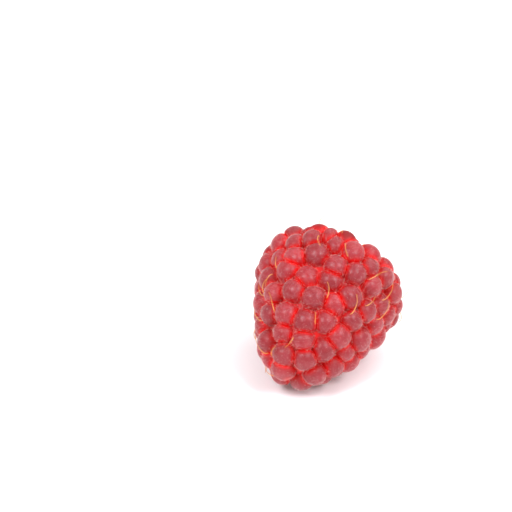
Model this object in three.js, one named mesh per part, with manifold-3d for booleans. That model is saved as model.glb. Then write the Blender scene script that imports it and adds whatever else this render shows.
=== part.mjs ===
// Raspberry: about 130 small fleshy drupelets fused round the hollow that the
// receptacle was pulled from, with the dried styles still standing on it.
// Millimetres, +Z up. The berry lies on its side on z = 0, with its tip
// towards -Y and a little down, and its open end towards +Y.
import * as THREE from 'three';
import { mergeVertices } from 'three/addons/utils/BufferGeometryUtils.js';
import Module from 'manifold-3d';

// Outline that touches the crowns of the drupelets. s runs along the axis of
// the berry, from the crest of the rim to the tip.
const BERRY_LENGTH = 21.9;
const CROWN_RADIUS = 11.2;
const WIDEST_S = 4.3;
const TAPER_POWER = 1.33;
const TIP_POWER = 2.06;
const RIM_CREST_RADIUS = 8.3;
const LIP_RADIUS = 5.8;
const RIM_ROLL = 150;
const OUTLINE_STEPS = 300;

// How the berry lies: the axis dips towards the tip, and the ground has
// flattened the lowest crowns.
const AXIS_DIP = 22;
const RIM_CENTRE = new THREE.Vector3(0, 8.45, 12.52);
const GROUND_BLOCK = 60;

// Rows of drupelets, from the tip to the lip of the opening. `arc` is measured
// along the outline from the tip, `phase` is the angle of the first drupelet
// from the top of the berry, and `width` is the mean width of a drupelet.
const ROWS = [
  { arc: 1.2, count: 1, phase: -48, width: 4.0 },
  { arc: 4.3, count: 6, phase: -21, width: 4.0 },
  { arc: 7.5, count: 9, phase: 20, width: 4.1 },
  { arc: 10.6, count: 14, phase: -15, width: 3.85 },
  { arc: 13.7, count: 15, phase: -13, width: 4.05 },
  { arc: 16.8, count: 16, phase: -3, width: 4.1 },
  { arc: 19.9, count: 19, phase: 0, width: 3.85 },
  { arc: 22.9, count: 20, phase: -8, width: 3.8 },
  { arc: 26.0, count: 18, phase: 2, width: 3.8 },
  { arc: 29.4, count: 14, phase: -8, width: 3.7 },
];

// The most that a drupelet departs from its row: in size as a share of its
// width, and in millimetres along the outline, round the axis and outwards.
const SIZE_SPREAD = 0.17;
const ARC_SPREAD = 0.6;
const SIDE_SPREAD = 0.4;
const CROWN_SPREAD = 0.3;

// The repeatable scatter that picks those departures.
const SCATTER_START = 616;
const SCATTER_TURN = 12.9898;
const SCATTER_GAIN = 43758.5453;
const SEEDS_EACH = 10;

// Half section of one drupelet, in half widths: a domed crown, and a body that
// narrows towards the hollow.
const DRUPELET_SECTION = [
  [0, 0],
  [0.53, -0.15],
  [0.87, -0.5],
  [1, -1],
  [0, -1.65],
];
const DRUPELET_SIDES = 8;

// The flesh under the creases, and the hollow inside it as (radius, s).
const CREASE_DEPTH = 1.3;
const FLESH_STEPS = 12;
const FLESH_SIDES = 24;
const HOLLOW_SECTION = [
  [6.4, 2.4],
  [6.5, 4.4],
  [6.1, 7],
  [5.3, 10],
  [4, 12.8],
  [2.2, 14.8],
  [0, 15.6],
];

// The dried styles: thin stiff threads.
const STYLE_COUNT = 44;
const STYLE_STRIDE = 37;
const STYLE_SEED = 1000;
const STYLE_RADIUS = 0.06;
const STYLE_SIDES = 5;
const STYLE_STEPS = 6;
const STYLE_LENGTH = 2.3;
const STYLE_LENGTH_SPREAD = 0.35;
const STYLE_BEND = 0.6;
const STYLE_BACKWARD = -0.3;

// A style is rooted in the crease beside its drupelet, and stays hidden there
// for its first part.
const STYLE_ROOT_ANGLE = 58;
const STYLE_ROOT_DEPTH = 0.9;
const STYLE_ROOT_LENGTH = 0.75;

// Knots of a style after its root: `rise` is a height in millimetres, `lifted`
// says how strongly the knot follows the lift of the style, and `along` and
// `turn` are shares of the length and of the bend.
const STYLE_KNOTS = [
  { rise: 0.75, lifted: 1, along: 0.1, turn: 0 },
  { rise: 1.1, lifted: 1.3, along: 0.4, turn: 0.25 },
  { rise: 1.15, lifted: 1.5, along: 0.72, turn: 0.6 },
  { rise: 0.95, lifted: 1.7, along: 1, turn: 1.2 },
];

// The clearance that a style keeps, and the lifts that are tried to reach it.
const STYLE_GAP = 0.09;
const STYLE_GROUND_GAP = 0.2;
const STYLE_SAMPLES = 24;
const STYLE_LIFT_STEP = 0.1;
const STYLE_MAX_LIFT = 1.2;

// Vertices closer than this are one vertex.
const WELD_DISTANCE = 1e-5;

const rad = THREE.MathUtils.degToRad;
const wasm = await Module();
wasm.setup();

// A repeatable value between -1 and 1 for each whole number.
function scatter(n) {
  const wave = Math.sin(n * SCATTER_TURN + SCATTER_START) * SCATTER_GAIN;
  return 2 * (wave - Math.floor(wave)) - 1;
}

// Directions of the lying berry: its axis from the rim to the tip, the side of
// it that faces up, and its level side.
const axis = new THREE.Vector3(0, -Math.cos(rad(AXIS_DIP)), -Math.sin(rad(AXIS_DIP)));
const upper = new THREE.Vector3(0, -Math.sin(rad(AXIS_DIP)), Math.cos(rad(AXIS_DIP)));
const side = new THREE.Vector3(1, 0, 0);

function radial(phi) {
  const across = upper.clone().multiplyScalar(Math.cos(phi));
  return across.addScaledVector(side, Math.sin(phi));
}

function berryPoint(s, radius, phi) {
  const point = RIM_CENTRE.clone().addScaledVector(axis, s);
  return point.addScaledVector(radial(phi), radius);
}

// Points (s, radius, arc) from the tip, over the widest part, round the rim
// and on to the lip.
function crownOutline() {
  const points = [];
  for (let i = 0; i <= OUTLINE_STEPS; i += 1) {
    const u = Math.cos((i / OUTLINE_STEPS) * (Math.PI / 2));
    const s = WIDEST_S + (BERRY_LENGTH - WIDEST_S) * u;
    const radius = CROWN_RADIUS * (1 - u ** TAPER_POWER) ** (1 / TIP_POWER);
    points.push({ s, radius });
  }
  for (let i = 1; i <= OUTLINE_STEPS; i += 1) {
    const roll = rad((RIM_ROLL * i) / OUTLINE_STEPS);
    const edge = Math.cos(roll) > 0 ? CROWN_RADIUS : 2 * RIM_CREST_RADIUS - LIP_RADIUS;
    const s = WIDEST_S * (1 - Math.sin(roll));
    const radius = RIM_CREST_RADIUS + (edge - RIM_CREST_RADIUS) * Math.cos(roll);
    points.push({ s, radius });
  }
  points[0].arc = 0;
  for (let i = 1; i < points.length; i += 1) {
    const [a, b] = [points[i - 1], points[i]];
    b.arc = a.arc + Math.hypot(b.s - a.s, b.radius - a.radius);
  }
  return points;
}

const outline = crownOutline();

// Position and outward slope of the outline at one arc length.
function onOutline(arc) {
  const next = Math.max(1, outline.findIndex((point) => point.arc >= arc));
  const [a, b] = [outline[next - 1], outline[next]];
  const length = b.arc - a.arc;
  const t = (arc - a.arc) / length;
  return {
    s: a.s + t * (b.s - a.s),
    radius: a.radius + t * (b.radius - a.radius),
    outS: (b.radius - a.radius) / length,
    outRadius: (a.s - b.s) / length,
  };
}

// One drupelet: its crown point, its outward axis, the direction along the
// berry, its half width, and the turn of its facets.
function makeDrupelet(row, i, seed) {
  const at = onOutline(row.arc + ARC_SPREAD * scatter(seed + 1));
  const turn = (SIDE_SPREAD * scatter(seed + 2)) / Math.max(at.radius, 1);
  const phi = rad(row.phase + (360 * i) / row.count) + turn;
  const out = axis.clone().multiplyScalar(at.outS).addScaledVector(radial(phi), at.outRadius);
  const crown = berryPoint(at.s, at.radius, phi);
  crown.addScaledVector(out, CROWN_SPREAD * scatter(seed + 3));
  const half = (row.width / 2) * (1 + SIZE_SPREAD * scatter(seed + 4));
  const along = new THREE.Vector3().crossVectors(out, radial(phi + Math.PI / 2)).normalize();
  return { crown, out, along, half, turn: Math.PI * scatter(seed + 5) };
}

function makeDrupelets() {
  const list = [];
  for (const row of ROWS) {
    for (let i = 0; i < row.count; i += 1) {
      list.push(makeDrupelet(row, i, SEEDS_EACH * list.length));
    }
  }
  return list;
}

const drupelets = makeDrupelets();

function toSolid(geometry) {
  const bare = geometry.clone();
  bare.deleteAttribute('normal');
  bare.deleteAttribute('uv');
  const merged = mergeVertices(bare, WELD_DISTANCE);
  const mesh = new wasm.Mesh({
    numProp: 3,
    vertProperties: new Float32Array(merged.attributes.position.array),
    triVerts: new Uint32Array(merged.index.array),
  });
  return new wasm.Manifold(mesh);
}

function toGeometry(solid) {
  const mesh = solid.getMesh();
  const points = new Float32Array(mesh.vertProperties);
  const geometry = new THREE.BufferGeometry();
  geometry.setAttribute('position', new THREE.BufferAttribute(points, 3));
  geometry.setIndex(new THREE.BufferAttribute(new Uint32Array(mesh.triVerts), 1));
  geometry.computeVertexNormals();
  return geometry;
}

function drupeletSolid(drupelet) {
  const section = DRUPELET_SECTION.map(([r, y]) => new THREE.Vector2(r, y)).reverse();
  const geometry = new THREE.LatheGeometry(section, DRUPELET_SIDES, drupelet.turn);
  const across = new THREE.Vector3().crossVectors(drupelet.along, drupelet.out);
  const place = new THREE.Matrix4().makeBasis(drupelet.along, drupelet.out, across);
  place.scale(new THREE.Vector3(drupelet.half, drupelet.half, drupelet.half));
  place.setPosition(drupelet.crown);
  geometry.applyMatrix4(place);
  return toSolid(geometry);
}

// Flesh that closes the creases: the crown outline moved inwards, and back
// along the wall of the hollow.
function fleshSolid() {
  const total = outline[outline.length - 1].arc;
  const section = [];
  for (let i = 0; i <= FLESH_STEPS; i += 1) {
    const at = onOutline((total * i) / FLESH_STEPS);
    const s = at.s - CREASE_DEPTH * at.outS;
    const radius = i === 0 ? 0 : Math.max(at.radius - CREASE_DEPTH * at.outRadius, 0);
    section.push(new THREE.Vector2(radius, -s));
  }
  for (const [radius, s] of HOLLOW_SECTION) {
    section.push(new THREE.Vector2(radius, -s));
  }
  const geometry = new THREE.LatheGeometry(section, FLESH_SIDES);
  const mouthward = axis.clone().negate();
  const across = new THREE.Vector3().crossVectors(upper, mouthward);
  const place = new THREE.Matrix4().makeBasis(upper, mouthward, across);
  place.setPosition(RIM_CENTRE);
  geometry.applyMatrix4(place);
  return toSolid(geometry);
}

// The block below z = 0 that the ground takes from the lowest crowns.
function groundSolid() {
  const geometry = new THREE.BoxGeometry(GROUND_BLOCK, GROUND_BLOCK, GROUND_BLOCK);
  geometry.translate(0, 0, -GROUND_BLOCK / 2);
  return toSolid(geometry);
}

// Centre of the ball that a drupelet's crown is part of.
function crownCentre(drupelet) {
  return drupelet.crown.clone().addScaledVector(drupelet.out, -drupelet.half);
}

function touchesCrown(point) {
  return drupelets.some((d) => point.distanceTo(crownCentre(d)) < d.half + STYLE_GAP);
}

// Whether a style clears the ground, and clears every crown past its root.
function isClear(curve) {
  const length = curve.getLength();
  for (let i = 0; i <= STYLE_SAMPLES; i += 1) {
    const t = i / STYLE_SAMPLES;
    const point = curve.getPoint(t);
    const isFree = t * length >= STYLE_ROOT_LENGTH;
    if (point.z < STYLE_GROUND_GAP || (isFree && touchesCrown(point))) {
      return false;
    }
  }
  return true;
}

// A style comes up out of the crease beside its drupelet and bends over the
// next one. It is raised step by step until it is clear, or is left out.
function styleCurve(drupelet, seed) {
  const across = new THREE.Vector3().crossVectors(drupelet.along, drupelet.out);
  const hand = scatter(seed + 1) > 0 ? 1 : -1;
  const way = scatter(seed + 2) > STYLE_BACKWARD ? 1 : -1;
  const length = STYLE_LENGTH * (1 + STYLE_LENGTH_SPREAD * scatter(seed + 3));
  const bend = STYLE_BEND * scatter(seed + 4);
  const slope = rad(STYLE_ROOT_ANGLE);
  const depth = drupelet.half * STYLE_ROOT_DEPTH;
  const root = crownCentre(drupelet)
    .addScaledVector(drupelet.out, Math.cos(slope) * depth)
    .addScaledVector(across, hand * Math.sin(slope) * depth);
  for (let lift = 0; lift <= STYLE_MAX_LIFT; lift += STYLE_LIFT_STEP) {
    const knots = STYLE_KNOTS.map((knot) => root
      .clone()
      .addScaledVector(drupelet.out, knot.rise + knot.lifted * lift)
      .addScaledVector(drupelet.along, way * knot.along * length)
      .addScaledVector(across, knot.turn * bend * length));
    const curve = new THREE.CatmullRomCurve3([root, ...knots]);
    if (isClear(curve)) {
      return curve;
    }
  }
  return null;
}

const styleMaterial = new THREE.MeshStandardMaterial({
  color: 0xd9a35a,
  roughness: 0.6,
  metalness: 0,
});

function styleMesh(curve, number) {
  const corners = [];
  for (let i = 0; i < STYLE_SIDES; i += 1) {
    const turn = (2 * Math.PI * i) / STYLE_SIDES;
    corners.push(new THREE.Vector2(Math.cos(turn), Math.sin(turn)).multiplyScalar(STYLE_RADIUS));
  }
  const thread = new THREE.ExtrudeGeometry(new THREE.Shape(corners), {
    steps: STYLE_STEPS,
    extrudePath: curve,
  });
  const mesh = new THREE.Mesh(toGeometry(toSolid(thread)), styleMaterial);
  mesh.name = `style_${String(number).padStart(2, '0')}`;
  return mesh;
}

let flesh = fleshSolid();
for (const drupelet of drupelets) {
  flesh = flesh.add(drupeletSolid(drupelet));
}
flesh = flesh.subtract(groundSolid());

const berry = new THREE.Mesh(
  toGeometry(flesh),
  new THREE.MeshStandardMaterial({ color: 0xc8323f, roughness: 0.5, metalness: 0 }),
);
berry.name = 'berry';

const raspberry = new THREE.Group();
raspberry.name = 'raspberry';
raspberry.add(berry);
for (let i = 0; raspberry.children.length <= STYLE_COUNT && i < drupelets.length; i += 1) {
  const bearer = (i * STYLE_STRIDE) % drupelets.length;
  const curve = styleCurve(drupelets[bearer], STYLE_SEED + SEEDS_EACH * bearer);
  if (curve) {
    raspberry.add(styleMesh(curve, raspberry.children.length));
  }
}

export default raspberry;
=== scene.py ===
# A ripe raspberry lying on its side: fused drupelets round an open hollow, a
# fine pale down on the skin, and the dried styles still standing on it.
import math
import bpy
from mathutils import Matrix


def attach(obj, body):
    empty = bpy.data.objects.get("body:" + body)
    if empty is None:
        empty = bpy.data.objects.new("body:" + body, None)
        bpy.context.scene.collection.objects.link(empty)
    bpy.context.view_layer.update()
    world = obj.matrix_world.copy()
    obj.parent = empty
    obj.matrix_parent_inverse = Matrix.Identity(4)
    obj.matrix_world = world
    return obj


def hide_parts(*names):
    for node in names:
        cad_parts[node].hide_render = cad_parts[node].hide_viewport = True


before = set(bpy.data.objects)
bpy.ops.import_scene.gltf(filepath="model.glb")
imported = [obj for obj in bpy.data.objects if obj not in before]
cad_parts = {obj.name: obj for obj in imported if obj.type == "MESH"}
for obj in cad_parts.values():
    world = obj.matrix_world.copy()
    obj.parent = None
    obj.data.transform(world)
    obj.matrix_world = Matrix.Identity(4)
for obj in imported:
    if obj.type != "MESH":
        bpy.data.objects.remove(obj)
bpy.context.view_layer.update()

from types import SimpleNamespace

import bmesh
import bpy
import numpy as np
from mathutils import Matrix, Vector, noise


# ---------------------------------------------------------------- viewpoint
# The berry is seen from above and to the right of its tip, low in the right
# half of the view, through a long lens so that it keeps its proportions.
MM = 0.001
VIEW_AZIMUTH = 23.5
VIEW_ELEVATION = 30.0
VIEW_DISTANCE = 211.0 * MM
LENS = 100.0
SENSOR = 36.0
NEAR_CLIP = 0.01
FAR_CLIP = 10.0
BERRY_MIDDLE = Vector((0.0, -1.71, 8.41)) * MM
AIM_LEFT = 8.55 * MM
AIM_ABOVE = 9.77 * MM


def direction(azimuth, elevation):
    turn, tilt = math.radians(azimuth), math.radians(elevation)
    level = math.cos(tilt)
    return Vector((math.sin(turn) * level, -math.cos(turn) * level, math.sin(tilt)))


towards = direction(VIEW_AZIMUTH, VIEW_ELEVATION)
rightward = -direction(VIEW_AZIMUTH - 90, 0)
upward = towards.cross(rightward)
lens = bpy.data.cameras.new("view")
lens.lens = LENS
lens.sensor_width = SENSOR
lens.clip_start = NEAR_CLIP
lens.clip_end = FAR_CLIP
camera = bpy.data.objects.new("view", lens)
bpy.context.collection.objects.link(camera)
aim = BERRY_MIDDLE - rightward * AIM_LEFT + upward * AIM_ABOVE
camera.location = aim + towards * VIEW_DISTANCE
camera.rotation_euler = Matrix((rightward, upward, towards)).transposed().to_euler()
bpy.context.scene.camera = camera


# ---------------------------------------------------------------- drupelets
# Each drupelet is a small stone fruit of its own. They grow in rings up the
# berry and swell until they press against each other, so every one is a
# tight dome with a deep narrow crease round it. Lengths here are in mm.
BERRY_LENGTH = 21.9
CROWN_RADIUS = 11.2
WIDEST_S = 4.3
TAPER_POWER = 1.33
TIP_POWER = 2.06
RIM_CREST_RADIUS = 8.3
LIP_RADIUS = 5.8
RIM_ROLL = 150
OUTLINE_STEPS = 300
AXIS_DIP = 22
RIM_CENTRE = Vector((0, 8.45, 12.52))

# Arc from the tip, number of drupelets, angle of the first, and mean width.
ROWS = (
    (1.2, 1, -48, 4.0),
    (4.3, 6, -21, 4.0),
    (7.5, 9, 20, 4.1),
    (10.6, 14, -15, 3.85),
    (13.7, 15, -13, 4.05),
    (16.8, 16, -3, 4.1),
    (19.9, 19, 0, 3.85),
    (22.9, 20, -8, 3.8),
    (26.0, 18, 2, 3.8),
    (29.4, 14, -8, 3.7),
)

# The most that a drupelet departs from its row, and the repeatable scatter
# that picks the departures.
SIZE_SPREAD = 0.17
ARC_SPREAD = 0.6
SIDE_SPREAD = 0.4
CROWN_SPREAD = 0.3
SCATTER_START = 616
SCATTER_TURN = 12.9898
SCATTER_GAIN = 43758.5453
SEEDS_EACH = 10


def scatter(number):
    wave = math.sin(number * SCATTER_TURN + SCATTER_START) * SCATTER_GAIN
    return 2 * (wave - math.floor(wave)) - 1


dip = math.radians(AXIS_DIP)
axis = Vector((0, -math.cos(dip), -math.sin(dip)))
upper = Vector((0, -math.sin(dip), math.cos(dip)))
side = Vector((1, 0, 0))


def radial(phi):
    return upper * math.cos(phi) + side * math.sin(phi)


# Points (s, radius) that touch the crowns, from the tip, over the widest part,
# round the rim and on to the lip. s runs along the axis from the rim's crest.
def crown_outline():
    points = []
    for i in range(OUTLINE_STEPS + 1):
        forward = math.cos(i / OUTLINE_STEPS * math.pi / 2)
        radius = CROWN_RADIUS * (1 - forward ** TAPER_POWER) ** (1 / TIP_POWER)
        points.append((WIDEST_S + (BERRY_LENGTH - WIDEST_S) * forward, radius))
    for i in range(1, OUTLINE_STEPS + 1):
        roll = math.radians(RIM_ROLL * i / OUTLINE_STEPS)
        edge = CROWN_RADIUS if math.cos(roll) > 0 else 2 * RIM_CREST_RADIUS - LIP_RADIUS
        radius = RIM_CREST_RADIUS + (edge - RIM_CREST_RADIUS) * math.cos(roll)
        points.append((WIDEST_S * (1 - math.sin(roll)), radius))
    return np.array(points)


outline = crown_outline()
outline_steps = np.hypot(*np.diff(outline, axis=0).T)
outline_arc = np.concatenate(([0.0], np.cumsum(outline_steps)))


# The outline's point at an arc from the tip, and the way out of the fruit there.
def on_outline(arc):
    after = max(1, int(np.searchsorted(outline_arc, arc)))
    (s0, r0), (s1, r1) = outline[after - 1], outline[after]
    length = outline_arc[after] - outline_arc[after - 1]
    t = (arc - outline_arc[after - 1]) / length
    return s0 + t * (s1 - s0), r0 + t * (r1 - r0), (r1 - r0) / length, (s0 - s1) / length


def make_drupelet(number, arc, angle, width):
    seed = SEEDS_EACH * number
    s, radius, out_s, out_radius = on_outline(arc + ARC_SPREAD * scatter(seed + 1))
    phi = angle + SIDE_SPREAD * scatter(seed + 2) / max(radius, 1)
    out = axis * out_s + radial(phi) * out_radius
    crown = RIM_CENTRE + axis * s + radial(phi) * radius
    crown += out * (CROWN_SPREAD * scatter(seed + 3))
    half = width / 2 * (1 + SIZE_SPREAD * scatter(seed + 4))
    along = out.cross(radial(phi + math.pi / 2)).normalized()
    return SimpleNamespace(number=number, out=out, along=along, across=along.cross(out),
                           half=half, centre=crown - out * half)


drupelets = []
for arc, count, phase, width in ROWS:
    for i in range(count):
        angle = math.radians(phase + 360 * i / count)
        drupelets.append(make_drupelet(len(drupelets), arc, angle, width))
centres = np.array([drupelet.centre for drupelet in drupelets])
halves = np.array([drupelet.half for drupelet in drupelets])

# A drupelet is a ball squeezed by its neighbours and by the table. Where it is
# free it swells, by SWELL. Elsewhere its skin stops at OVERLAP times the way to
# the plane between the two, so that they grow together. PRESS sets how sharply
# it turns from dome to flat, and CROWDED is the least of its half width kept.
PRESS = 4.2
OVERLAP = 1.23
TABLE_OVERLAP = 1.03
SWELL = 1.11
CROWDED = 0.4
RING_STEPS = 18
ROUND_STEPS = 44
LOWEST_RING = 112
ROOT_REACH = 0.9
SKIN_WAVE = 0.014
WAVE_SIZE = 0.9


def pressing_planes(drupelet):
    offset = centres - centres[drupelet.number]
    apart = np.linalg.norm(offset, axis=1)
    near = (apart > 0) & (apart < (halves + drupelet.half) * SWELL)
    normals = offset[near] / apart[near][:, None]
    reach = (apart[near] ** 2 + drupelet.half ** 2 - halves[near] ** 2) / (2 * apart[near])
    neighbours = len(normals)
    if drupelet.centre.z < drupelet.half:
        normals = np.vstack((normals, (0, 0, -1)))
        reach = np.append(reach, drupelet.centre.z * TABLE_OVERLAP / OVERLAP)
    return normals, np.maximum(reach, CROWDED * drupelet.half), neighbours


def skin_radius(drupelet, directions):
    squeeze = np.clip(directions @ drupelet.normals.T, 0, None) / (drupelet.reach * OVERLAP)
    ball = (1 / (drupelet.half * SWELL)) ** PRESS
    return (ball + (squeeze ** PRESS).sum(axis=1)) ** (-1 / PRESS)


for drupelet in drupelets:
    drupelet.normals, drupelet.reach, drupelet.neighbours = pressing_planes(drupelet)


def new_piece(name, points, faces):
    mesh = bpy.data.meshes.new(name)
    mesh.from_pydata(points, [], faces)
    piece = bpy.data.objects.new(name, mesh)
    bpy.context.collection.objects.link(piece)
    return piece


# Faces of a closed skin: a first point, rings of points, and a last point.
def ringed_faces(rings, around):
    last = 1 + rings * around
    base = last - around
    faces = []
    for k in range(around):
        n = (k + 1) % around
        faces.append((0, 1 + k, 1 + n))
        faces.append((last, base + n, base + k))
    for i in range(rings - 1):
        a = 1 + i * around
        b = a + around
        for k in range(around):
            n = (k + 1) % around
            faces.append((a + k, b + k, b + n, a + n))
    return faces


# One drupelet as a closed skin, faintly uneven, and flat where it lies on the
# table.
def drupelet_ball(drupelet):
    ways = [tuple(drupelet.out)]
    for i in range(1, RING_STEPS + 1):
        lean = math.radians(LOWEST_RING) * i / RING_STEPS
        for k in range(ROUND_STEPS):
            spin = 2 * math.pi * (k + 0.5 * (i % 2)) / ROUND_STEPS
            flat = drupelet.along * math.cos(spin) + drupelet.across * math.sin(spin)
            ways.append(tuple(drupelet.out * math.cos(lean) + flat * math.sin(lean)))
    ways.append(tuple(-drupelet.out))
    ways = np.array(ways)
    reach = skin_radius(drupelet, ways)
    reach[-1] = ROOT_REACH * drupelet.half
    points = centres[drupelet.number] + ways * reach[:, None]
    waves = np.array([noise.noise(Vector(point) / WAVE_SIZE) for point in points])
    reach *= 1 + SKIN_WAVE * waves
    points = centres[drupelet.number] + ways * reach[:, None]
    points[:, 2] = np.maximum(points[:, 2], 0.0)
    return new_piece("drupelet", points.tolist(), ringed_faces(RING_STEPS, ROUND_STEPS))


# ---------------------------------------------------------------- hollow
# The drupelets are grown together with a firm thimble of flesh. It is hollow
# and open where the receptacle pulled away, and every drupelet's foot bulges a
# little into it. All of them are joined here into one closed solid, in mm.
CREASE_DEPTH = 1.5
FLESH_STEPS = 12
HOLLOW_WALL = ((6.4, 2.4), (6.5, 4.4), (6.1, 7), (5.3, 10), (4, 12.8), (2.2, 14.8), (0, 15.6))
THIMBLE_STEPS = 84
THIMBLE_SIDES = 132
FOOT_DENT = 0.6
FOOT_LEVEL = 0.35
FOOT_SLOPE = 1.1
FOOT_FADE_ROWS = 4
FAR_SIDE = 3


# Points (radius, s): the crown outline moved inwards, and the hollow's wall.
def thimble_section():
    total = outline_arc[-1]
    section = []
    for i in range(FLESH_STEPS + 1):
        s, radius, out_s, out_radius = on_outline(total * i / FLESH_STEPS)
        radius = max(radius - CREASE_DEPTH * out_radius, 0) if i else 0
        section.append((radius, s - CREASE_DEPTH * out_s))
    section = np.array(section + list(HOLLOW_WALL))
    length = np.concatenate(([0.0], np.cumsum(np.hypot(*np.diff(section, axis=0).T))))
    even = np.linspace(0, length[-1], THIMBLE_STEPS + 1)
    return np.stack([np.interp(even, length, section[:, k]) for k in (0, 1)], axis=1)


outs = np.array([drupelet.out for drupelet in drupelets])


# 0 on the seam between two drupelets' feet, and 1 on the middle of a foot. A
# foot that points away, across the hollow, counts as much farther off.
def foot_bump(point):
    feet = point - centres
    along = (feet * outs).sum(axis=1)
    sideways = np.linalg.norm(feet - along[:, None] * outs, axis=1)
    sideways[along > 0] += FAR_SIDE
    first, second = np.partition(sideways, 1)[:2]
    return min(1.0, (second - first) / FOOT_SLOPE)


def thimble():
    section = thimble_section()
    rim_row = int(np.argmin(section[:, 1]))
    points = [np.array(RIM_CENTRE + axis * section[0][1])]
    for row, (radius, s) in enumerate(section[1:-1], 1):
        fade = min(1.0, (row - rim_row - 1) / FOOT_FADE_ROWS)
        for k in range(THIMBLE_SIDES):
            way = radial(2 * math.pi * k / THIMBLE_SIDES)
            point = np.array(RIM_CENTRE + axis * s + way * radius)
            if fade > 0:
                point -= np.array(way) * (FOOT_DENT * fade * (foot_bump(point) - FOOT_LEVEL))
            points.append(point)
    points.append(np.array(RIM_CENTRE + axis * section[-1][1]))
    faces = ringed_faces(THIMBLE_STEPS - 1, THIMBLE_SIDES)
    return new_piece("thimble", [point.tolist() for point in points], faces)


def turn_outward(piece):
    mesh = bmesh.new()
    mesh.from_mesh(piece.data)
    bmesh.ops.recalc_face_normals(mesh, faces=mesh.faces)
    if mesh.calc_volume(signed=True) < 0:
        bmesh.ops.reverse_faces(mesh, faces=mesh.faces)
    mesh.to_mesh(piece.data)
    mesh.free()


def join_solids(first, second):
    union = first.modifiers.new("union", "BOOLEAN")
    union.operation = "UNION"
    union.solver = "MANIFOLD"
    union.object = second
    evaluated = first.evaluated_get(bpy.context.evaluated_depsgraph_get())
    mesh = bpy.data.meshes.new_from_object(evaluated)
    first.modifiers.clear()
    first.data = mesh
    bpy.data.objects.remove(second)


# Tiny pockets shut in between three drupelets are filled: only the largest
# closed skin is kept.
def keep_outer_skin(piece):
    mesh = bmesh.new()
    mesh.from_mesh(piece.data)
    loose = set(mesh.verts)
    islands = []
    while loose:
        island = set()
        border = {loose.pop()}
        while border:
            island |= border
            loose -= border
            border = {e.other_vert(v) for v in border for e in v.link_edges} - island
        islands.append(island)
    islands.sort(key=len)
    for island in islands[:-1]:
        bmesh.ops.delete(mesh, geom=list(island), context="VERTS")
    mesh.to_mesh(piece.data)
    mesh.free()


solids = [drupelet_ball(drupelet) for drupelet in drupelets]
solids.append(thimble())
for solid in solids:
    turn_outward(solid)
while len(solids) > 1:
    for i in range(0, len(solids) - 1, 2):
        join_solids(solids[i], solids[i + 1])
    solids = solids[::2]
berry = solids[0]
berry.name = "berry_flesh"
berry.data.name = "berry_flesh"
keep_outer_skin(berry)


# ---------------------------------------------------------------- skin
# One thin skin covers all of the flesh and grew with it, so its colour follows
# the drupelets. Every point keeps how far it is from the nearest crease, how
# high on its dome, its drupelet's own tone, and whether it lines the hollow.
SKIN_MARGIN = 1.07
DEEPEST_RISE = -0.6
LOWEST_RISE = -0.45
WIDEST_CREASE = 1.5
WALL_BLEND = 0.9
SHARP_FOLD = 50
TONE_SEED = 4000

skin = np.empty(len(berry.data.vertices) * 3)
berry.data.vertices.foreach_get("co", skin)
skin = skin.reshape(-1, 3)
crease = np.zeros(len(skin))
rise = np.full(len(skin), DEEPEST_RISE)
tone = np.zeros(len(skin))
closest = np.full(len(skin), SKIN_MARGIN)
depth = (skin - np.array(RIM_CENTRE)) @ np.array(axis)
girth = np.linalg.norm(skin - np.array(RIM_CENTRE) - depth[:, None] * np.array(axis), axis=1)
wall = np.interp(depth, [s for r, s in HOLLOW_WALL], [r for r, s in HOLLOW_WALL])
inside = np.clip((wall + WALL_BLEND - girth) / WALL_BLEND, 0, 1)
for i in np.flatnonzero(inside > 0):
    crease[i] = foot_bump(skin[i])

# A point outside the hollow belongs to the drupelet whose dome it lies on.
for drupelet in drupelets:
    offset = skin - centres[drupelet.number]
    distance = np.linalg.norm(offset, axis=1)
    near = np.flatnonzero(distance < drupelet.half * SWELL * SKIN_MARGIN)
    ways = offset[near] / distance[near][:, None]
    share = distance[near] / skin_radius(drupelet, ways)
    mine = (share < closest[near]) & (ways @ np.array(drupelet.out) > LOWEST_RISE)
    near, ways, offset = near[mine], ways[mine], offset[near[mine]]
    closest[near] = share[mine]
    gaps = drupelet.reach[:drupelet.neighbours] - offset @ drupelet.normals[:drupelet.neighbours].T
    crease[near] = np.clip(gaps.min(axis=1), 0, WIDEST_CREASE)
    rise[near] = ways @ np.array(drupelet.out)
    tone[near] = scatter(TONE_SEED + drupelet.number)
attributes = {"crease": crease, "rise": rise, "tone": tone, "inside": inside}
for name, values in attributes.items():
    layer = berry.data.attributes.new(name, "FLOAT", "POINT")
    layer.data.foreach_set("value", values.astype(np.float32))
berry.data.transform(Matrix.Scale(MM, 4))

# The skin shades smoothly, except over a sharp fold such as a crease.
fold = bmesh.new()
fold.from_mesh(berry.data)
for edge in fold.edges:
    edge.smooth = edge.calc_face_angle(0) < math.radians(SHARP_FOLD)
for face in fold.faces:
    face.smooth = True
fold.to_mesh(berry.data)
fold.free()


# An sRGB hex colour, turned linear.
def linear(colour):
    channels = [int(colour[i:i + 2], 16) / 255 for i in (1, 3, 5)]
    bent = [c / 12.92 if c <= 0.04045 else ((c + 0.055) / 1.055) ** 2.4 for c in channels]
    return (*bent, 1.0)


# A node with its settings, values, links and, on a colour ramp, its stops.
def add(tree, kind, settings=None, values=None, links=None, stops=None):
    made = tree.nodes.new(kind)
    for name, setting in (settings or {}).items():
        setattr(made, name, setting)
    for socket, value in (values or {}).items():
        made.inputs[socket].default_value = value
    for socket, source in (links or {}).items():
        tree.links.new(source, made.inputs[socket])
    for i, (place, colour) in enumerate(stops or ()):
        bar = made.color_ramp.elements
        stop = bar[i] if i < len(bar) else bar.new(place)
        stop.position = place
        stop.color = linear(colour)
    return made


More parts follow.
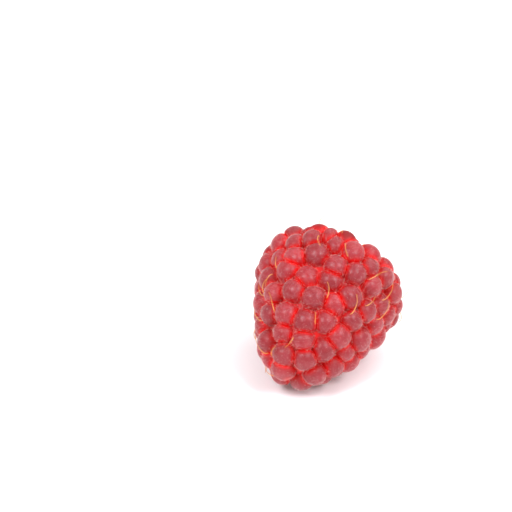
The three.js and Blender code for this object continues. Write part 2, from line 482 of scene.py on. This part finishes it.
# Raspberry skin: thin, tight and juicy, with a dull bloom that grew on it.
# Creases are painted a clearer, brighter red than the rest: a painted glow that
# stands for the light passing through the juicy flesh there. Crowns go a dusty
# rose. Its patterns, in mm, are cloudy patches a third of a drupelet wide,
# grains of bloom, low lumps and pores. Real pores are finer, and are drawn this
# coarse so that they show.
BLOTCH_SIZE = 1.43
BLOOM_SIZE = 0.3125
LUMP_SIZE = 0.455
PORE_SIZE = 0.111
PORE_SHARE = 0.35
RELIEF_DEPTH = 0.12
GLOW_DEPTH = 1.4
CREASE_FADE = 0.85
CROWN_RISE = 0.9

flesh = bpy.data.materials.new("raspberry_skin")
flesh.use_nodes = True
tree = flesh.node_tree
tree.nodes.clear()
grown = add(tree, "ShaderNodeTexCoord").outputs["Object"]
creased = add(tree, "ShaderNodeAttribute", {"attribute_name": "crease"}).outputs["Fac"]
raised = add(tree, "ShaderNodeAttribute", {"attribute_name": "rise"}).outputs["Fac"]
toned = add(tree, "ShaderNodeAttribute", {"attribute_name": "tone"}).outputs["Fac"]
lining = add(tree, "ShaderNodeAttribute", {"attribute_name": "inside"}).outputs["Fac"]
open_skin = add(
    tree, "ShaderNodeMapRange", {"interpolation_type": "SMOOTHSTEP"},
    {"From Min": 0.0, "From Max": CREASE_FADE}, {"Value": creased}).outputs["Result"]
crown = add(
    tree, "ShaderNodeMapRange", {"interpolation_type": "SMOOTHSTEP"},
    {"From Min": 0.0, "From Max": CROWN_RISE}, {"Value": raised}).outputs["Result"]
blotch = add(
    tree, "ShaderNodeTexNoise", None,
    {"Scale": 1 / (BLOTCH_SIZE * MM), "Detail": 3.0, "Roughness": 0.6},
    {"Vector": grown}).outputs["Fac"]
bloom = add(
    tree, "ShaderNodeTexNoise", None,
    {"Scale": 1 / (BLOOM_SIZE * MM), "Detail": 4.0, "Roughness": 0.65},
    {"Vector": grown}).outputs["Fac"]
# The skin's own red, painted brightest in the creases: a painted glow for the light that passes
# through the flesh there.
juice_red_and_painted_glow = add(
    tree, "ShaderNodeValToRGB", links={"Fac": open_skin},
    stops=((0.0, "#d80b08"), (0.4, "#ae0d0f"), (1.0, "#8e161a"))).outputs["Color"]
dusty = add(
    tree, "ShaderNodeValToRGB", links={"Fac": blotch},
    stops=((0.3, "#8e2a32"), (0.7, "#a8484f"))).outputs["Color"]
# The hollow's lining, painted a darker red on the seams between the drupelets' feet: painted shade
# in those recesses.
pith_with_painted_shade = add(
    tree, "ShaderNodeValToRGB", links={"Fac": open_skin},
    stops=((0.0, "#a81412"), (0.5, "#c8322c"), (1.0, "#d4483f"))).outputs["Color"]
dust = add(
    tree, "ShaderNodeMath", {"operation": "MULTIPLY"},
    links={0: open_skin, 1: crown}).outputs[0]
grains = add(
    tree, "ShaderNodeMapRange", None,
    {"From Min": 0.36, "From Max": 0.64, "To Min": 0.45, "To Max": 1.0},
    {"Value": bloom}).outputs["Result"]
grainy_dust = add(
    tree, "ShaderNodeMath", {"operation": "MULTIPLY"},
    links={0: dust, 1: grains}).outputs[0]
dusted = add(
    tree, "ShaderNodeMix", {"data_type": "RGBA"},
    links={"Factor": grainy_dust, "A": juice_red_and_painted_glow, "B": dusty}).outputs["Result"]
shade = add(
    tree, "ShaderNodeMapRange", None,
    {"From Min": -1.0, "From Max": 1.0, "To Min": 0.82, "To Max": 1.12},
    {"Value": toned}).outputs["Result"]
outer = add(
    tree, "ShaderNodeHueSaturation",
    links={"Color": dusted, "Value": shade}).outputs["Color"]
skin_colour = add(
    tree, "ShaderNodeMix", {"data_type": "RGBA"},
    links={"Factor": lining, "A": outer, "B": pith_with_painted_shade}).outputs["Result"]
pores = add(
    tree, "ShaderNodeTexNoise", None,
    {"Scale": 1 / (PORE_SIZE * MM), "Detail": 2.0, "Roughness": 0.6},
    {"Vector": grown}).outputs["Fac"]
lumps = add(
    tree, "ShaderNodeTexNoise", None,
    {"Scale": 1 / (LUMP_SIZE * MM), "Detail": 2.0, "Roughness": 0.5},
    {"Vector": grown}).outputs["Fac"]
relief = add(
    tree, "ShaderNodeMath", {"operation": "MULTIPLY_ADD"}, {1: PORE_SHARE},
    {0: pores, 2: lumps}).outputs[0]
bump = add(
    tree, "ShaderNodeBump", None, {"Strength": 0.22, "Distance": RELIEF_DEPTH * MM},
    {"Height": relief}).outputs["Normal"]
rough = add(
    tree, "ShaderNodeMapRange", None,
    {"From Min": 0.0, "From Max": 1.0, "To Min": 0.48, "To Max": 0.32},
    {"Value": dust}).outputs["Result"]
shader = add(tree, "ShaderNodeBsdfPrincipled", None, {
    "IOR": 1.37,
    "Specular IOR Level": 0.45,
    "Subsurface Weight": 0.6,
    "Subsurface Radius": (1.0, 0.16, 0.1),
    "Subsurface Scale": GLOW_DEPTH * MM,
    "Sheen Weight": 0.08,
    "Sheen Roughness": 0.3,
    "Sheen Tint": linear("#ffc8c8"),
}, {"Base Color": skin_colour, "Roughness": rough, "Normal": bump})
add(tree, "ShaderNodeOutputMaterial", links={"Surface": shader.outputs[0]})
berry.data.materials.clear()
berry.data.materials.append(flesh)
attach(berry, "root")
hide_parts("berry")


# ---------------------------------------------------------------- down
# The skin of every drupelet carries a fine white down. It blurs the outline,
# dulls the red of the crowns and catches the light along every edge. Each
# hair is a short closed spike rooted just under the skin. Lengths are in mm.
HAIRS_EACH = 420
HAIR_ROOM = 0.16
HAIR_LENGTH = 0.27
HAIR_LENGTH_SPREAD = 0.4
HAIR_RADIUS = 0.009
HAIR_SIDES = 3
HAIR_LEAN = 0.55
HAIR_ROOT = 0.04
HAIR_LOWEST = 0.35
DOWN_REACH = 1.05
SPIN_SPREAD = 0.5
GOLDEN_TURN = math.pi * (3 - math.sqrt(5))
ROOT_SEED = 20000
ROOT_SEED_STEP = 3
LEAN_SEED = 300000
LEAN_SEED_STEP = 4
DOWN_SEEDS_EACH = 1000


# Roots spread evenly over the dome, except where a neighbour or the table is.
def hair_roots(drupelet):
    ways = []
    for i in range(HAIRS_EACH):
        seed = ROOT_SEED + DOWN_SEEDS_EACH * drupelet.number + ROOT_SEED_STEP * i
        height = 1 - DOWN_REACH * (i + 0.5) / HAIRS_EACH
        spin = GOLDEN_TURN * i + SPIN_SPREAD * scatter(seed)
        flat = drupelet.along * math.cos(spin) + drupelet.across * math.sin(spin)
        ways.append(drupelet.out * height + flat * math.sqrt(1 - height ** 2))
    ways = np.array(ways)
    roots = centres[drupelet.number] + ways * skin_radius(drupelet, ways)[:, None]
    bare = roots[:, 2] > HAIR_LOWEST
    for other in drupelets:
        offset = roots - centres[other.number]
        distance = np.linalg.norm(offset, axis=1)
        if other is not drupelet and distance.min() < other.half * SWELL + HAIR_ROOM:
            bare &= distance > skin_radius(other, offset / distance[:, None]) + HAIR_ROOM
    return roots[bare], ways[bare], np.flatnonzero(bare)


def add_hair(points, faces, root, way, seed):
    lean = Vector((scatter(seed), scatter(seed + 1), scatter(seed + 2))) * HAIR_LEAN
    up = (Vector(way) + lean).normalized()
    across = up.orthogonal().normalized()
    other = up.cross(across)
    base = Vector(root) - up * HAIR_ROOT
    length = HAIR_LENGTH * (1 + HAIR_LENGTH_SPREAD * scatter(seed + 3))
    first = len(points)
    for k in range(HAIR_SIDES):
        spin = 2 * math.pi * k / HAIR_SIDES
        points.append(base + (across * math.cos(spin) + other * math.sin(spin)) * HAIR_RADIUS)
    points.append(base + up * (HAIR_ROOT + length))
    faces.append(tuple(first + k for k in reversed(range(HAIR_SIDES))))
    for k in range(HAIR_SIDES):
        faces.append((first + k, first + (k + 1) % HAIR_SIDES, first + HAIR_SIDES))


points = []
faces = []
for drupelet in drupelets:
    for root, way, i in zip(*hair_roots(drupelet)):
        seed = LEAN_SEED + DOWN_SEEDS_EACH * drupelet.number + LEAN_SEED_STEP * int(i)
        add_hair(points, faces, root, way, seed)
down = new_piece("skin_down", [tuple(point * MM) for point in points], faces)

# Plant down: clear colourless hairs. They look white where light strikes them.
# Their pink tinge is painted: it stands for the red light that shines through
# them from the skin.
TINGE_SIZE = 1.11

hair = bpy.data.materials.new("white_plant_down")
hair.use_nodes = True
tree = hair.node_tree
tree.nodes.clear()
place = add(tree, "ShaderNodeTexCoord").outputs["Object"]
tinge = add(
    tree, "ShaderNodeTexNoise", None, {"Scale": 1 / (TINGE_SIZE * MM), "Detail": 2.0},
    {"Vector": place}).outputs["Fac"]
# White with a painted pink tinge for the red light from the skin beneath.
hair_white_and_painted_red_light = add(
    tree, "ShaderNodeValToRGB", links={"Fac": tinge},
    stops=((0.3, "#efc2ba"), (0.7, "#fbe4de"))).outputs["Color"]
shader = add(tree, "ShaderNodeBsdfPrincipled", None, {"Roughness": 0.45, "IOR": 1.5},
             {"Base Color": hair_white_and_painted_red_light})
add(tree, "ShaderNodeOutputMaterial", links={"Surface": shader.outputs[0]})
down.data.materials.append(hair)
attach(down, "root")


# ---------------------------------------------------------------- styles
# Every pistil of the flower leaves its dried style behind: a stiff golden
# thread that comes up out of a crease and bends over the next drupelet. It
# shrinks as it dries. Lengths are in mm.
STYLE_COUNT = 44
STYLE_STRIDE = 37
STYLE_SEED = 1000
STYLE_RADIUS = 0.06
STYLE_DRYING = 0.75
STYLE_LENGTH = 2.3
STYLE_LENGTH_SPREAD = 0.35
STYLE_BEND = 0.6
STYLE_BACKWARD = -0.3
STYLE_ROOT_ANGLE = 58
STYLE_ROOT_DEPTH = 0.9
STYLE_ROOT_LENGTH = 0.75
STYLE_GAP = 0.09
STYLE_GROUND_GAP = 0.2
STYLE_SAMPLES = 24
STYLE_LENGTH_SAMPLES = 200
STYLE_LIFT_STEP = 0.1
STYLE_MAX_LIFT = 1.2

# Height, share of the lift, share of the length and share of the bend of each
# knot after the root.
STYLE_KNOTS = (
    (0.75, 1, 0.1, 0),
    (1.1, 1.3, 0.4, 0.25),
    (1.15, 1.5, 0.72, 0.6),
    (0.95, 1.7, 1, 1.2),
)

# The thread narrows from its root, ends in a slightly swollen stigma, and is
# uneven all along.
STYLE_RINGS = 22
STYLE_SIDES = 8
THREAD_ROOT = 1.25
THREAD_TAPER = 0.5
STIGMA_START = 0.88
STIGMA_SWELL = 0.35
THREAD_WAVE = 0.16
THREAD_SEED = 7000
THREAD_SEED_STEP = 7
THREAD_SEEDS_EACH = 200


# Point on the smooth curve through the knots, with t from 0 to 1.
def style_point(knots, t):
    place = t * (len(knots) - 1)
    i = min(int(place), len(knots) - 2)
    t = place - i
    before = knots[i - 1] if i > 0 else knots[0] * 2 - knots[1]
    after = knots[i + 2] if i + 2 < len(knots) else knots[-1] * 2 - knots[-2]
    a, b = knots[i], knots[i + 1]
    step0, step1, step2 = ((q - p).length ** 0.5 for p, q in ((before, a), (a, b), (b, after)))
    run_a = ((a - before) / step0 - (b - before) / (step0 + step1) + (b - a) / step1) * step1
    run_b = ((b - a) / step1 - (after - a) / (step1 + step2) + (after - b) / step2) * step1
    cubic = a * 2 - b * 2 + run_a + run_b
    square = (b - a) * 3 - run_a * 2 - run_b
    return a + run_a * t + square * t ** 2 + cubic * t ** 3


def is_clear(knots):
    fine = [style_point(knots, i / STYLE_LENGTH_SAMPLES) for i in range(STYLE_LENGTH_SAMPLES + 1)]
    length = sum((q - p).length for p, q in zip(fine, fine[1:]))
    for i in range(STYLE_SAMPLES + 1):
        t = i / STYLE_SAMPLES
        point = style_point(knots, t)
        is_free = t * length >= STYLE_ROOT_LENGTH
        touches = (np.linalg.norm(centres - point, axis=1) < halves + STYLE_GAP).any()
        if point.z < STYLE_GROUND_GAP or (is_free and touches):
            return False
    return True


def style_knots(drupelet, seed):
    hand = 1 if scatter(seed + 1) > 0 else -1
    way = 1 if scatter(seed + 2) > STYLE_BACKWARD else -1
    length = STYLE_LENGTH * (1 + STYLE_LENGTH_SPREAD * scatter(seed + 3))
    bend = STYLE_BEND * scatter(seed + 4)
    slope = math.radians(STYLE_ROOT_ANGLE)
    root = drupelet.centre + drupelet.out * (drupelet.half * math.cos(slope) * STYLE_ROOT_DEPTH)
    root += drupelet.across * (hand * drupelet.half * math.sin(slope) * STYLE_ROOT_DEPTH)
    lift = 0.0
    while lift <= STYLE_MAX_LIFT:
        knots = [root]
        for height, lifted, forward, sideways in STYLE_KNOTS:
            knots.append(root + drupelet.out * (height + lifted * lift)
                         + drupelet.along * (way * forward * length)
                         + drupelet.across * (sideways * bend * length))
        if is_clear(knots):
            return knots
        lift += STYLE_LIFT_STEP
    return None


def thread_radius(t, seed):
    stigma = STIGMA_SWELL * max(0, (t - STIGMA_START) / (1 - STIGMA_START))
    radius = STYLE_RADIUS * STYLE_DRYING * (THREAD_ROOT - THREAD_TAPER * t + stigma)
    return radius * (1 + THREAD_WAVE * scatter(seed))


def add_thread(points, faces, worn, knots, seed):
    line = [style_point(knots, i / STYLE_RINGS) for i in range(STYLE_RINGS + 1)]
    first = len(points)
    reference = (line[1] - line[0]).orthogonal().normalized()
    for i, point in enumerate(line):
        ahead = (line[min(i + 1, STYLE_RINGS)] - line[max(i - 1, 0)]).normalized()
        reference = (reference - ahead * reference.dot(ahead)).normalized()
        other = ahead.cross(reference)
        radius = thread_radius(i / STYLE_RINGS, seed + THREAD_SEED_STEP * i)
        for k in range(STYLE_SIDES):
            spin = 2 * math.pi * k / STYLE_SIDES
            points.append(point + (reference * math.cos(spin) + other * math.sin(spin)) * radius)
            worn.append(i / STYLE_RINGS)
    for i in range(STYLE_RINGS):
        a = first + i * STYLE_SIDES
        b = a + STYLE_SIDES
        for k in range(STYLE_SIDES):
            n = (k + 1) % STYLE_SIDES
            faces.append((a + k, a + n, b + n, b + k))
    last = len(points) - STYLE_SIDES
    faces.append(tuple(first + k for k in reversed(range(STYLE_SIDES))))
    faces.append(tuple(last + k for k in range(STYLE_SIDES)))


points = []
faces = []
worn = []
count = 0
for i in range(len(drupelets)):
    bearer = i * STYLE_STRIDE % len(drupelets)
    knots = style_knots(drupelets[bearer], STYLE_SEED + SEEDS_EACH * bearer)
    if knots and count < STYLE_COUNT:
        count += 1
        add_thread(points, faces, worn, knots, THREAD_SEED + THREAD_SEEDS_EACH * count)
styles = new_piece("dried_styles", [tuple(point * MM) for point in points], faces)
layer = styles.data.attributes.new("worn", "FLOAT", "POINT")
layer.data.foreach_set("value", worn)
for face in styles.data.polygons:
    face.use_smooth = True
turn_outward(styles)

# Dry plant fibre: a dull straw thread, orange at its root and brown at its tip,
# flecked every 0.4 mm or so, with a faint rough grain.
FLECK_SIZE = 0.4
FLECK_SHARE = 0.5
GRAIN_DEPTH = 0.03
FIBRE_GLOW = 0.2

fibre = bpy.data.materials.new("dried_style_fibre")
fibre.use_nodes = True
tree = fibre.node_tree
tree.nodes.clear()
worn_tip = add(tree, "ShaderNodeAttribute", {"attribute_name": "worn"}).outputs["Fac"]
place = add(tree, "ShaderNodeTexCoord").outputs["Object"]
fleck = add(
    tree, "ShaderNodeTexNoise", None, {"Scale": 1 / (FLECK_SIZE * MM), "Detail": 3.0},
    {"Vector": place}).outputs["Fac"]
weathered = add(
    tree, "ShaderNodeMath", {"operation": "MULTIPLY_ADD"}, {1: FLECK_SHARE},
    {0: fleck, 2: worn_tip}).outputs[0]
straw = add(
    tree, "ShaderNodeValToRGB", links={"Fac": weathered},
    stops=((0.1, "#dc8a48"), (0.6, "#e8ac60"), (1.0, "#c4823e"))).outputs["Color"]
grain = add(
    tree, "ShaderNodeBump", None, {"Strength": 0.4, "Distance": GRAIN_DEPTH * MM},
    {"Height": fleck}).outputs["Normal"]
shader = add(tree, "ShaderNodeBsdfPrincipled", None, {
    "Roughness": 0.55,
    "IOR": 1.45,
    "Subsurface Weight": 0.3,
    "Subsurface Radius": (1.0, 0.6, 0.3),
    "Subsurface Scale": FIBRE_GLOW * MM,
}, {"Base Color": straw, "Normal": grain})
add(tree, "ShaderNodeOutputMaterial", links={"Surface": shader.outputs[0]})
styles.data.materials.append(fibre)
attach(styles, "root")
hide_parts(*[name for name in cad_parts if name.startswith("style_")])


# ---------------------------------------------------------------- room
# A white table top under broad soft lights: two small ones before the berry,
# which put a pair of faint highlights on each drupelet, and a large one above
# and behind it.
TABLE_HALF = 2.0
ROOM_GLOW = 0.7

# Azimuth and elevation in degrees, distance, width and height in metres, power
# in watts, and colour.
SOFTBOXES = {
    "left_softbox": (-22, 48, 0.32, 0.1, 0.1, 0.6, "#fffaff"),
    "right_softbox": (68, 46, 0.32, 0.08, 0.1, 0.55, "#fffaff"),
    "back_softbox": (140, 60, 0.4, 0.35, 0.35, 0.85, "#ffffff"),
}

corners = [(-1, -1), (1, -1), (1, 1), (-1, 1)]
table = new_piece(
    "table_top", [(x * TABLE_HALF, y * TABLE_HALF, 0) for x, y in corners], [(0, 1, 2, 3)])

# A board painted matt white: it barely shines, and its shadow stays soft.
paint = bpy.data.materials.new("white_table_top")
paint.use_nodes = True
tree = paint.node_tree
tree.nodes.clear()
shader = add(tree, "ShaderNodeBsdfPrincipled", None, {
    "Base Color": linear("#fdfdfd"), "Roughness": 0.6, "Specular IOR Level": 0.2})
add(tree, "ShaderNodeOutputMaterial", links={"Surface": shader.outputs[0]})
table.data.materials.append(paint)

room = bpy.data.worlds.new("room")
room.use_nodes = True
tree = room.node_tree
tree.nodes.clear()
glow = add(tree, "ShaderNodeBackground", None,
           {"Color": linear("#ffffff"), "Strength": ROOM_GLOW})
add(tree, "ShaderNodeOutputWorld", links={"Surface": glow.outputs[0]})
bpy.context.scene.world = room

for name, (azimuth, elevation, distance, width, height, power, colour) in SOFTBOXES.items():
    light = bpy.data.lights.new(name, "AREA")
    light.shape = "RECTANGLE"
    light.size = width
    light.size_y = height
    light.energy = power
    light.color = linear(colour)[:3]
    lamp = bpy.data.objects.new(name, light)
    bpy.context.collection.objects.link(lamp)
    way = direction(azimuth, elevation)
    lamp.location = BERRY_MIDDLE + way * distance
    lamp.rotation_euler = way.to_track_quat("Z", "Y").to_euler()

bpy.context.scene.view_settings.view_transform = "Standard"
bpy.context.scene.view_settings.look = "None"
